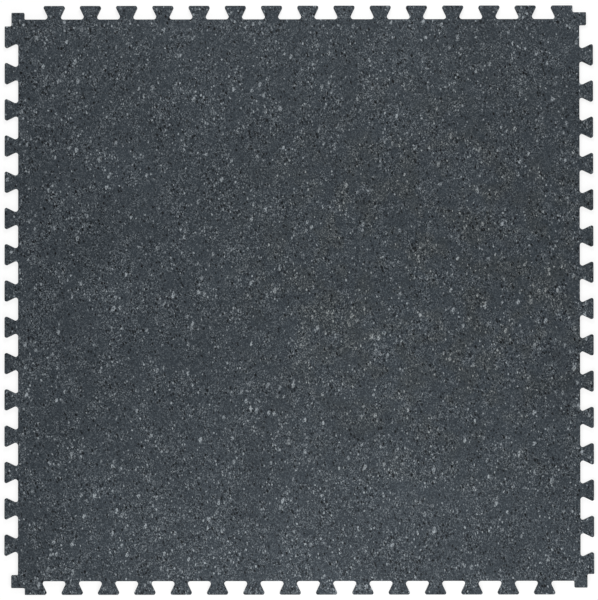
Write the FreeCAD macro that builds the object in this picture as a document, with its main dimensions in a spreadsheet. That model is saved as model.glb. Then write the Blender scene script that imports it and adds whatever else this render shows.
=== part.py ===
"""Interlocking PVC floor tile, one moulded piece, in millimetres.

The tile lies flat with its underside on Z = 0 and its centre on the Z axis. All four
sides are alike: the outline repeats at every quarter turn, so any side of one tile
locks into any side of the next. Going clockwise round the tile, a side starts with a
square corner block, carries a row of dovetail tabs at a fixed pitch, and ends in a
tab that is cut off square beside the next side's block.

Tiles are laid laid_size apart. Their joint line runs midway between the tips and the
roots of the tabs, and the outline lies joint_clearance inside it all the way round.
"""
import FreeCAD, Part
import Sketcher
import os

SIZES = [
    ("laid_size", 635.0, "from tile to tile in a laid floor"),
    ("thickness", 6.0, "underside to walking face"),
    ("tab_pitch", 40.0, "from one dovetail tab to the next"),
    ("tab_height", 15.0, "root of a tab to its tip"),
    ("tip_width", 27.2, "across a tab's tip, on the joint line"),
    ("block_size", 15.0, "corner block's share of the joint line"),
    ("joint_clearance", 0.5, "joint line to moulded edge"),
    ("joint_radius", 2.5, "of the joint line at the tips and roots of the tabs"),
    ("block_radius", 1.35, "of the joint line round the corner blocks"),
    ("edge_radius", 0.3, "rounding along the walking face"),
]

doc = FreeCAD.newDocument("floor_tile")


def make_sheet():
    """One named cell for each driving dimension."""
    sheet = doc.addObject("Spreadsheet::Sheet", "tile")
    for row, (alias, value, meaning) in enumerate(SIZES, start=1):
        sheet.set(f"A{row}", alias)
        sheet.set(f"B{row}", str(value))
        sheet.setAlias(f"B{row}", alias)
        sheet.set(f"C{row}", meaning)
    doc.recompute()
    return sheet


tile = make_sheet()

# Lines across the top side, as heights above the tile's centre
CORNER = "tile.laid_size / 2"
ROOT_LINE = f"({CORNER} - tile.tab_height / 2 - tile.joint_clearance)"
TIP_LINE = f"({CORNER} + tile.tab_height / 2 - tile.joint_clearance)"
BLOCK_TOP = f"({CORNER} - tile.joint_clearance)"
BLOCK_FOOT = f"({CORNER} - tile.block_size + tile.joint_clearance)"
TAB_CUT = f"({CORNER} - tile.block_size - tile.joint_clearance)"

# How far a flank leans out for each millimetre up, and half the width of a tab
LEAN = "((tile.tip_width - tile.tab_pitch / 2) / tile.tab_height)"
SLANT = f"sqrt(1 + {LEAN} ^ 2)"
HALF_MIDDLE = f"(tile.tab_pitch / 4 - tile.joint_clearance * {SLANT})"
HALF_ROOT = f"({HALF_MIDDLE} - {LEAN} * (tile.tab_height / 2 + tile.joint_clearance))"
HALF_TIP = f"({HALF_MIDDLE} + {LEAN} * (tile.tab_height / 2 - tile.joint_clearance))"

# As many tabs as the corner blocks leave room for, half a pitch off the middle
TAB_COUNT = "floor((tile.laid_size - 2 * tile.block_size) / tile.tab_pitch - 0.5)"
FIRST_TAB = f"(-({TAB_COUNT} - 0.5) * tile.tab_pitch / 2)"
CUT_TAB = f"(({TAB_COUNT} + 0.5) * tile.tab_pitch / 2)"

# The edge is offset from the joint line, so outward and inward corners differ
TIP_RADIUS = "(tile.joint_radius - tile.joint_clearance)"
ROOT_RADIUS = "(tile.joint_radius + tile.joint_clearance)"
BLOCK_TIP_RADIUS = "(tile.block_radius - tile.joint_clearance)"
BLOCK_ROOT_RADIUS = "(tile.block_radius + tile.joint_clearance)"

# How far a tab's outline runs on past its rounded root, and how deep it is let in
ROOT_REACH = f"({ROOT_RADIUS} * ({SLANT} + {LEAN}) + tile.joint_radius)"
LET_IN = "(tile.joint_radius + tile.block_radius)"


def value_of(expression):
    """What an expression on the sheet comes to, in millimetres."""
    return float(tile.evalExpression(expression))


def origin_feature(body, role):
    """The body's own origin plane or axis with that role."""
    return next(part for part in body.Origin.OriginFeatures if part.Role == role)


def bind(sketch, name, constraint, expression):
    """Add a constraint to the sketch and tie its value to the sheet."""
    index = sketch.addConstraint(constraint)
    sketch.renameConstraint(index, name)
    sketch.setExpression(f"Constraints.{name}", expression)


def draw_outline(body, name, corners):
    """A closed outline on the XY plane through corners of (x, y, rounding or None)."""
    sketch = body.newObject("Sketcher::SketchObject", name)
    sketch.AttachmentSupport = [(origin_feature(body, "XY_Plane"), "")]
    sketch.MapMode = "FlatFace"
    points = [FreeCAD.Vector(value_of(x), value_of(y), 0) for x, y, _ in corners]
    count = len(corners)
    for i in range(count):
        sketch.addGeometry(Part.LineSegment(points[i], points[(i + 1) % count]), False)
    for i in range(count):
        sketch.addConstraint(Sketcher.Constraint("Coincident", i, 2, (i + 1) % count, 1))
    for i, (x, y, _) in enumerate(corners):
        across = Sketcher.Constraint("DistanceX", -1, 1, i, 1, points[i].x)
        upward = Sketcher.Constraint("DistanceY", -1, 1, i, 1, points[i].y)
        bind(sketch, f"corner_{i}_x", across, x)
        bind(sketch, f"corner_{i}_y", upward, y)
    for i, (_, _, rounding) in enumerate(corners):
        if rounding:
            radius = value_of(rounding)
            sketch.fillet(i, 1, radius, True, True)
            arc = sketch.GeometryCount - 2
            bind(sketch, f"corner_{i}_r", Sketcher.Constraint("Radius", arc, radius), rounding)
    doc.recompute()
    return sketch


def pad(body, name, sketch):
    """The outline carried up through the tile's thickness."""
    feature = body.newObject("PartDesign::Pad", name)
    feature.Profile = sketch
    feature.setExpression("Length", "tile.thickness")
    doc.recompute()
    return feature


def field_corners():
    """The plain square inside the roots of the tabs."""
    return [
        (f"-{ROOT_LINE}", f"-{ROOT_LINE}", None),
        (ROOT_LINE, f"-{ROOT_LINE}", None),
        (ROOT_LINE, ROOT_LINE, None),
        (f"-{ROOT_LINE}", ROOT_LINE, None),
    ]


def tab_corners():
    """The first dovetail tab of the top side, with the rounding at its roots."""
    left = f"{FIRST_TAB} - {HALF_ROOT}"
    right = f"{FIRST_TAB} + {HALF_ROOT}"
    return [
        (f"{left} - {ROOT_REACH}", f"{ROOT_LINE} - {LET_IN}", None),
        (f"{right} + {ROOT_REACH}", f"{ROOT_LINE} - {LET_IN}", None),
        (f"{right} + {ROOT_REACH}", ROOT_LINE, None),
        (right, ROOT_LINE, ROOT_RADIUS),
        (f"{FIRST_TAB} + {HALF_TIP}", TIP_LINE, TIP_RADIUS),
        (f"{FIRST_TAB} - {HALF_TIP}", TIP_LINE, TIP_RADIUS),
        (left, ROOT_LINE, ROOT_RADIUS),
        (f"{left} - {ROOT_REACH}", ROOT_LINE, None),
    ]


def end_corners():
    """The cut-off tab that ends the top side, and the block that starts the right side."""
    foot = f"{CUT_TAB} - {HALF_ROOT}"
    return [
        (f"{foot} - {ROOT_REACH}", f"{BLOCK_FOOT} - {LET_IN}", None),
        (ROOT_LINE, f"{BLOCK_FOOT} - {LET_IN}", None),
        (ROOT_LINE, BLOCK_FOOT, BLOCK_ROOT_RADIUS),
        (BLOCK_TOP, BLOCK_FOOT, BLOCK_TIP_RADIUS),
        (BLOCK_TOP, BLOCK_TOP, BLOCK_TIP_RADIUS),
        (TAB_CUT, BLOCK_TOP, BLOCK_ROOT_RADIUS),
        (TAB_CUT, TIP_LINE, BLOCK_TIP_RADIUS),
        (f"{CUT_TAB} - {HALF_TIP}", TIP_LINE, TIP_RADIUS),
        (foot, ROOT_LINE, ROOT_RADIUS),
        (f"{foot} - {ROOT_REACH}", ROOT_LINE, None),
    ]


def along_side(body, name):
    """A pattern step: one copy at every pitch along the top side."""
    row = body.newObject("PartDesign::LinearPattern", name)
    row.Direction = (origin_feature(body, "X_Axis"), [""])
    row.setExpression("Length", f"({TAB_COUNT} - 1) * tile.tab_pitch")
    row.setExpression("Occurrences", TAB_COUNT)
    return row


def round_tile(body, name):
    """A pattern step: one copy on each of the four sides."""
    turn = body.newObject("PartDesign::PolarPattern", name)
    turn.Axis = (origin_feature(body, "Z_Axis"), [""])
    turn.Angle = 360
    turn.Occurrences = 4
    return turn


def repeat(body, name, feature, steps):
    """The feature repeated by pattern steps that act one after the other."""
    repeated = body.newObject("PartDesign::MultiTransform", name)
    repeated.Originals = [feature]
    repeated.Transformations = steps
    body.Tip = repeated
    doc.recompute()
    return repeated


def walking_face(shape):
    """The name of the widest flat face on top of the shape."""
    faces = list(enumerate(shape.Faces, start=1))
    number, _ = max(faces, key=lambda face: (round(face[1].CenterOfMass.z, 3), face[1].Area))
    return f"Face{number}"


def round_edge(body, name, base):
    """The walking face rounded off all along its outline."""
    rounding = body.newObject("PartDesign::Fillet", name)
    rounding.Base = (base, [walking_face(base.Shape)])
    rounding.setExpression("Radius", "tile.edge_radius")
    doc.recompute()
    return rounding


def floor_tile():
    """The whole tile: field, corners, tabs and the rounded edge."""
    body = doc.addObject("PartDesign::Body", "floor_tile")
    pad(body, "field", draw_outline(body, "field_outline", field_corners()))
    end = pad(body, "end", draw_outline(body, "end_outline", end_corners()))
    repeat(body, "ends", end, [round_tile(body, "end_turn")])
    tab = pad(body, "tab", draw_outline(body, "tab_outline", tab_corners()))
    tabs = repeat(body, "tabs", tab, [along_side(body, "tab_row"), round_tile(body, "tab_turn")])
    body.Tip = round_edge(body, "edge", tabs)
    doc.recompute()
    return body


def check_objects():
    """Stop if anything in the document failed."""
    for thing in doc.Objects:
        if "Invalid" in thing.State or "Error" in thing.State:
            raise RuntimeError(f"{thing.Label} failed: {thing.State}")


def export(body):
    """One file, named after the piece."""
    shape = body.Shape
    if shape.isNull() or not shape.isValid() or len(shape.Solids) != 1:
        raise RuntimeError(f"{body.Label} is not one sound solid")
    os.makedirs("parts", exist_ok=True)
    shape.exportStep(f"parts/{body.Label}.step")


piece = floor_tile()
check_objects()
export(piece)
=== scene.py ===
import math

import bpy
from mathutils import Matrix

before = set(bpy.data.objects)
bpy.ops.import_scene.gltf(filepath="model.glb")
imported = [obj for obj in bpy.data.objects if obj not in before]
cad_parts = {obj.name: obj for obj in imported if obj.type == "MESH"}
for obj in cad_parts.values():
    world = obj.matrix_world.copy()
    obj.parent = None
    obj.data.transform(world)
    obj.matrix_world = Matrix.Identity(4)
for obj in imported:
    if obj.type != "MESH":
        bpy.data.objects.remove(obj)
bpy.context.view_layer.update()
bpy.ops.object.select_all(action="DESELECT")


# The tile
# One piece of filled PVC, pressed from slate-grey granules with pale and black chips
# mixed in, so the flecks run right through it and show on its cut edges too.
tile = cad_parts["floor_tile"]

SLATE = (0.0358, 0.0462, 0.0566, 1.0)
DARK_GRANULE = (0.005, 0.008, 0.011, 1.0)
PALE_GRANULE = (0.176, 0.200, 0.219, 1.0)
PALE_CHIP = (0.36, 0.40, 0.43, 1.0)
BLACK_CHIP = (0.002, 0.003, 0.004, 1.0)

# A granule's size across, along and through the tile in metres, and a chip's soft rim
# as a part of its cell
GRANULE = (0.00082, 0.0011, 0.00082)
SOFT_RIM = 0.06

# The mix is a shade mossier in patches to the right of the middle, fully inside the
# radius and fading out to the reach
PLAIN_TINT = (1.0, 1.0, 1.0, 1.0)
MOSSY_TINT = (1.035, 1.0, 0.94, 1.0)
MOSSY_MIDDLE = (0.15, 0.02, 0.0)
MOSSY_RADIUS = 0.12
MOSSY_REACH = 0.28

# How fine each drift in the mix is, as noise cells to the metre
CLOUDS = 12.0
MOSS = 45.0
PATCHES = 65.0

# How clearly granules show in quiet patches, how much chips thin out there and crowd in
# busy ones, and how far the clouds darken and lighten the mix
QUIET = 0.42
CROWDING = 0.09
CLOUD_DARK, CLOUD_LIGHT = 0.89, 1.11

# The grain pressed into the faces, in cells to the metre and as a depth, and their sheen
PRESSED_GRAIN = 1400.0
GRAIN_DEPTH = 0.0002
DULLNESS = 0.62
SHEEN = 0.15


def add(tree, kind, inputs=None, **settings):
    """A shader node with its settings, whose inputs get a value or a link."""
    made = tree.nodes.new(kind)
    for name, value in settings.items():
        setattr(made, name, value)
    for name, value in (inputs or {}).items():
        if isinstance(value, bpy.types.NodeSocket):
            tree.links.new(value, made.inputs[name])
        else:
            made.inputs[name].default_value = value
    return made


def reckon(tree, operation, first, second, third=0.0):
    """The result of one arithmetic step on two or three numbers."""
    made = add(tree, "ShaderNodeMath", {0: first, 1: second, 2: third}, operation=operation)
    return made.outputs[0]


def stretch(tree, value, from_low, from_high, to_low=0.0, to_high=1.0):
    """A number moved from one range to another, and held inside it."""
    ends = {"Value": value, "From Min": from_low, "From Max": from_high, "To Min": to_low, "To Max": to_high}
    return add(tree, "ShaderNodeMapRange", ends).outputs[0]


def drift(tree, place, fineness, detail):
    """A soft random number that changes from place to place."""
    noise = add(tree, "ShaderNodeTexNoise", {"Vector": place, "Scale": fineness, "Detail": detail})
    return noise.outputs[0]


def blend_colours(tree, share, under, over):
    """One colour laid over another by a share from 0 to 1."""
    made = add(tree, "ShaderNodeMix", data_type="RGBA")
    for name, value in (("Factor_Float", share), ("A_Color", under), ("B_Color", over)):
        socket = next(s for s in made.inputs if s.identifier == name)
        if isinstance(value, bpy.types.NodeSocket):
            tree.links.new(value, socket)
        else:
            socket.default_value = value
    return next(s for s in made.outputs if s.identifier == "Result_Color")


def crumpled(tree, place, grain, depth):
    """Places pushed about by a fine noise, so that chips get torn outlines."""
    noise = add(tree, "ShaderNodeTexNoise", {"Vector": place, "Scale": 1 / grain, "Detail": 2.0})
    centred = add(tree, "ShaderNodeVectorMath", {0: noise.outputs["Color"], 1: (0.5, 0.5, 0.5)},
                  operation="SUBTRACT")
    pushed = add(tree, "ShaderNodeVectorMath", {0: centred.outputs[0], 1: (depth, depth, depth), 2: place},
                 operation="MULTIPLY_ADD")
    return pushed.outputs[0]


def granules(tree, place):
    """Granules pressed together, as a colour for each and a random number for each."""
    pressed = add(tree, "ShaderNodeMapping", {"Vector": place, "Scale": GRANULE}, vector_type="TEXTURE")
    cells = add(tree, "ShaderNodeTexVoronoi", {"Vector": pressed.outputs[0], "Scale": 1.0})
    lots = add(tree, "ShaderNodeSeparateColor", {"Color": cells.outputs["Color"]})
    ramp = add(tree, "ShaderNodeValToRGB", {"Fac": lots.outputs[0]})
    ramp.color_ramp.elements[0].color = DARK_GRANULE
    ramp.color_ramp.elements[1].color = PALE_GRANULE
    for middle in (0.3, 0.6):
        ramp.color_ramp.elements.new(middle).color = SLATE
    return ramp.outputs["Color"], lots.outputs[1]


def chips(tree, place, crowd, spacing, length, turn, share, widest, shift, faintest, strongest):
    """Chips scattered one to a cell, as their cover from 0 to 1.

    crowd adds chips where it is above 0, spacing is the cell in metres, length how much
    longer than wide a chip is, turn its lie, share the part of the cells that hold one,
    and widest the largest chip's radius. shift keeps one scatter clear of another, and
    each chip has its own strength between faintest and strongest.
    """
    cell = add(tree, "ShaderNodeMapping",
               {"Vector": place, "Location": (shift, shift / 3, 0), "Rotation": (0, 0, turn),
                "Scale": (spacing, spacing * length, spacing)}, vector_type="TEXTURE")
    cells = add(tree, "ShaderNodeTexVoronoi", {"Vector": cell.outputs[0], "Scale": 1.0})
    lots = add(tree, "ShaderNodeSeparateColor", {"Color": cells.outputs["Color"]})
    chance = reckon(tree, "ADD", lots.outputs[0], crowd)
    spare = reckon(tree, "MAXIMUM", reckon(tree, "SUBTRACT", chance, 1 - share), 0.0)
    radius = reckon(tree, "MULTIPLY", reckon(tree, "POWER", spare, 0.5), widest / spacing / share ** 0.5)
    inside = reckon(tree, "SUBTRACT", radius, cells.outputs["Distance"])
    cover = add(tree, "ShaderNodeMapRange",
                {"Value": inside, "From Min": 0.0, "From Max": SOFT_RIM}, interpolation_type="SMOOTHSTEP")
    strength = reckon(tree, "MULTIPLY_ADD", lots.outputs[1], strongest - faintest, faintest)
    return reckon(tree, "MULTIPLY", cover.outputs[0], strength)


def flecked_pvc():
    """Slate granules with pale and black chips, and a fine pressed grain."""
    material = bpy.data.materials.new("flecked_pvc")
    material.use_nodes = True
    tree = material.node_tree
    shader = tree.nodes["Principled BSDF"]
    place = add(tree, "ShaderNodeTexCoord").outputs["Object"]

    # The granules stand out in busy patches, and less between them
    granule_colour, split = granules(tree, crumpled(tree, place, grain=0.0012, depth=0.0011))
    patches = drift(tree, place, PATCHES, 3.0)
    busy = stretch(tree, patches, 0.38, 0.58, QUIET, 1.0)
    colour = blend_colours(tree, busy, SLATE, granule_colour)

    # Black chips lie lowest, then small pale ones, then long pale ones split into shards
    shredded = crumpled(tree, place, grain=0.0020, depth=0.0024)
    crowd = stretch(tree, patches, 0.3, 0.7, -CROWDING, CROWDING)
    black = chips(tree, shredded, crowd, spacing=0.0028, length=1.5, turn=0.3, share=0.45,
                  widest=0.0013, shift=0.3, faintest=0.7, strongest=1.0)
    small_pale = chips(tree, shredded, crowd, spacing=0.0026, length=1.5, turn=0.15, share=0.32,
                       widest=0.0010, shift=0.1, faintest=0.3, strongest=0.9)
    long_pale = chips(tree, shredded, crowd, spacing=0.0068, length=1.7, turn=-0.2, share=0.40,
                      widest=0.0021, shift=0.2, faintest=0.5, strongest=1.0)
    shards = reckon(tree, "MULTIPLY", long_pale, stretch(tree, split, 0.3, 0.55, 0.05, 1.0))
    colour = blend_colours(tree, black, colour, BLACK_CHIP)
    colour = blend_colours(tree, small_pale, colour, PALE_CHIP)
    colour = blend_colours(tree, shards, colour, PALE_CHIP)

    # The whole mix is a little lighter or darker in wide clouds, and mossier in one area
    wash = stretch(tree, drift(tree, place, CLOUDS, 3.0), 0.25, 0.75, CLOUD_DARK, CLOUD_LIGHT)
    washed = add(tree, "ShaderNodeVectorMath", {0: colour, "Scale": wash}, operation="SCALE")
    away = add(tree, "ShaderNodeVectorMath", {0: place, 1: MOSSY_MIDDLE}, operation="DISTANCE")
    area = stretch(tree, away.outputs["Value"], MOSSY_RADIUS, MOSSY_REACH, 1.0, 0.0)
    mossy = reckon(tree, "MULTIPLY", area, stretch(tree, drift(tree, place, MOSS, 2.0), 0.45, 0.6))
    tint = blend_colours(tree, mossy, PLAIN_TINT, MOSSY_TINT)
    tinted = add(tree, "ShaderNodeVectorMath", {0: washed.outputs[0], 1: tint}, operation="MULTIPLY")
    tree.links.new(tinted.outputs[0], shader.inputs["Base Color"])

    # The faces have a faint pressed grain and hardly any sheen
    grain = drift(tree, place, PRESSED_GRAIN, 3.0)
    bump = add(tree, "ShaderNodeBump", {"Height": grain, "Strength": 0.25, "Distance": GRAIN_DEPTH})
    tree.links.new(bump.outputs[0], shader.inputs["Normal"])
    shader.inputs["Roughness"].default_value = DULLNESS
    shader.inputs["Specular IOR Level"].default_value = SHEEN
    return material


tile.data.materials.clear()
tile.data.materials.append(flecked_pvc())


# The floor
# A plain studio floor of white paper just under the tile. It glows only where it is seen,
# and a little more further out, so it stays white from low down and keeps a faint shadow.
FLOOR_SIZE = 40.0
PAPER_SETTLE = 0.0002
PAPER = (0.22, 0.22, 0.22, 1.0)
NEAR, NEAR_GLOW = 0.6, 0.83
FAR, FAR_GLOW = 2.4, 0.91

bpy.ops.mesh.primitive_plane_add(size=FLOOR_SIZE, location=(0, 0, -PAPER_SETTLE))
floor = bpy.context.object
floor.name = "studio_floor"


def white_paper():
    """White for the camera, with room left under white for a shadow."""
    material = bpy.data.materials.new("white_paper")
    material.use_nodes = True
    tree = material.node_tree
    shader = tree.nodes["Principled BSDF"]
    shader.inputs["Base Color"].default_value = PAPER
    shader.inputs["Roughness"].default_value = 0.9
    shader.inputs["Specular IOR Level"].default_value = 0.0
    rays = add(tree, "ShaderNodeLightPath")
    seen = reckon(tree, "MAXIMUM", rays.outputs["Is Camera Ray"], rays.outputs["Is Glossy Ray"])
    place = add(tree, "ShaderNodeTexCoord").outputs["Object"]
    away = add(tree, "ShaderNodeVectorMath", {0: place}, operation="LENGTH").outputs["Value"]
    glow = reckon(tree, "MULTIPLY", seen, stretch(tree, away, NEAR, FAR, NEAR_GLOW, FAR_GLOW))
    shader.inputs["Emission Color"].default_value = (1, 1, 1, 1)
    tree.links.new(glow, shader.inputs["Emission Strength"])
    return material


floor.data.materials.append(white_paper())


# The light
# Two round soft boxes facing down, a low one in front of the tile and a higher one behind
# it, in an even grey room.
BOX_SIZE = 0.5
ROOM_LEVEL = 0.39


def soft_box(name, place, energy):
    """A round soft box facing straight down, out of the camera's sight."""
    data = bpy.data.lights.new(name, "AREA")
    data.shape = "DISK"
    data.size = BOX_SIZE
    data.energy = energy
    box = bpy.data.objects.new(name, data)
    box.location = place
    box.visible_camera = False
    bpy.context.scene.collection.objects.link(box)


soft_box("front_box", place=(0.04, -0.49, 0.56), energy=2.65)
soft_box("back_box", place=(0.025, 0.80, 0.89), energy=6.3)


def studio_room():
    """An even grey room that the camera sees as white."""
    world = bpy.data.worlds.new("studio_room")
    world.use_nodes = True
    tree = world.node_tree
    background = tree.nodes["Background"]
    background.inputs["Color"].default_value = (1, 1, 1, 1)
    rays = add(tree, "ShaderNodeLightPath")
    strength = reckon(tree, "MULTIPLY_ADD", rays.outputs["Is Camera Ray"], 1 - ROOM_LEVEL, ROOM_LEVEL)
    tree.links.new(strength, background.inputs["Strength"])
    return world


bpy.context.scene.world = studio_room()
bpy.context.scene.view_settings.view_transform = "Standard"


# The camera
# High above the tile with a long lens, and tilted by less than a degree, as it was when
# the photograph was taken. The tilt is in degrees.
CAMERA_PLACE = (0.0033, -0.0455, 3.0)
CAMERA_TILT = (0.8645, 0.0642, -0.0602)
LENS = 163.1
SENSOR = 36.0

camera_data = bpy.data.cameras.new("camera")
camera_data.lens = LENS
camera_data.sensor_width = SENSOR
camera = bpy.data.objects.new("camera", camera_data)
camera.location = CAMERA_PLACE
camera.rotation_euler = [math.radians(angle) for angle in CAMERA_TILT]
bpy.context.scene.collection.objects.link(camera)
bpy.context.scene.camera = camera
